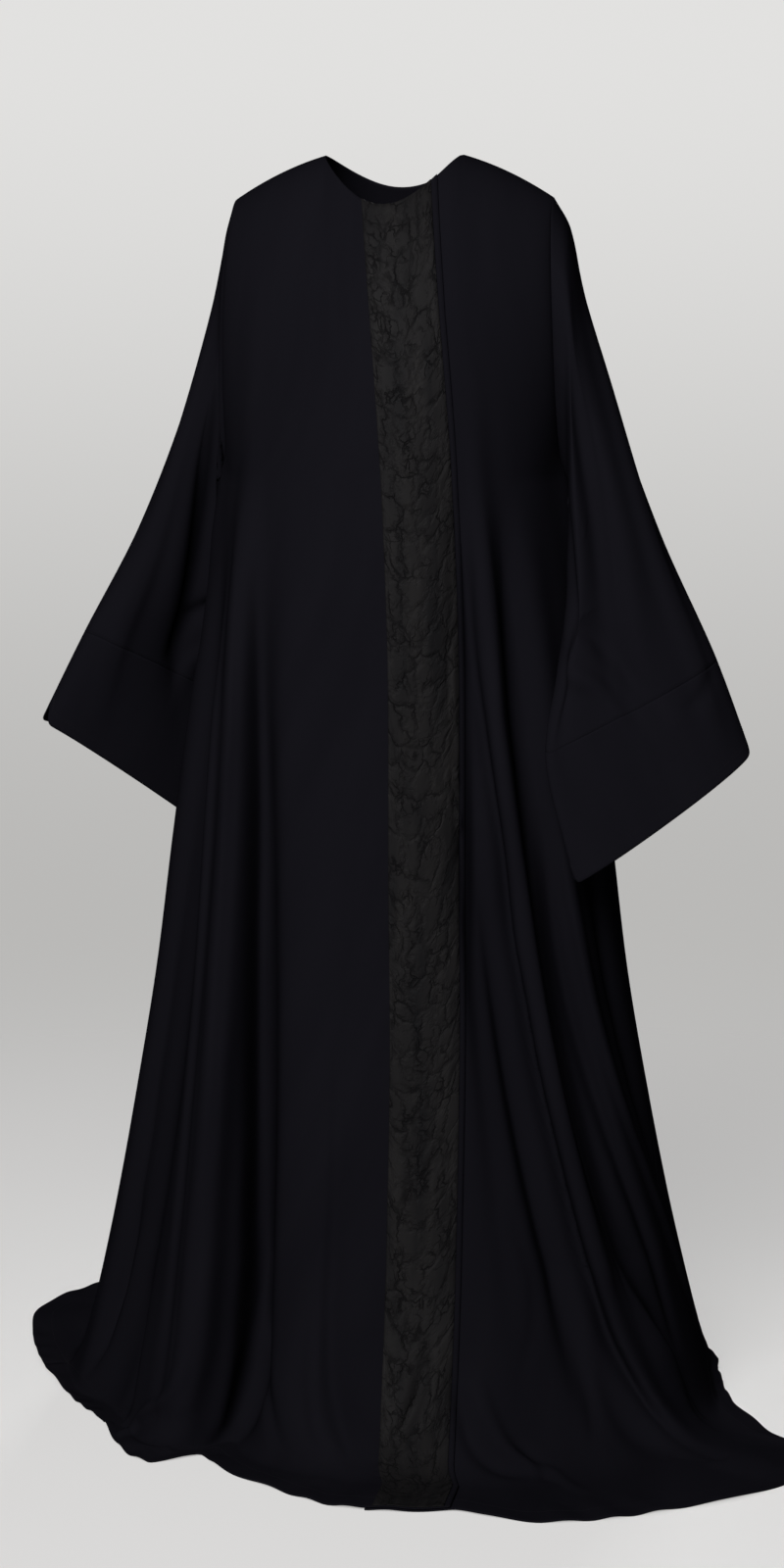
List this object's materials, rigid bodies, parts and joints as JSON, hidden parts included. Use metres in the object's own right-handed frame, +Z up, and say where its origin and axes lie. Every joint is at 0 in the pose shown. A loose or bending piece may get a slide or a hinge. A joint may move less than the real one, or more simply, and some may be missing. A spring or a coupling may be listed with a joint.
{
  "type": "abaya cloak",
  "caption": "Long open-front abaya cloak in worn pose: wide sleeves with deep cuffs, overlapping fronts with a figured band, hollow inside, hem trailing on the floor.",
  "frame": {"origin": "middle of the neck opening at the height of the shoulder seams, where the wearer's neck and shoulders hold the garment", "axes": "+Z up; the wearer faces -Y; +X is the wearer's left"},
  "size_m": [0.9905, 1.0702, 1.42],
  "materials": {
    "crepe": "matt crepe with a soft sheen",
    "jacquard": "figured satin jacquard, dull shine"
  },
  "bodies": {
    "root": {"front_right": "crepe", "front_left": "crepe", "back": "crepe", "sleeve_right": "crepe", "sleeve_left": "crepe", "cuff_right": "crepe", "cuff_left": "crepe", "front_band": "jacquard"}
  },
  "joints": []
}
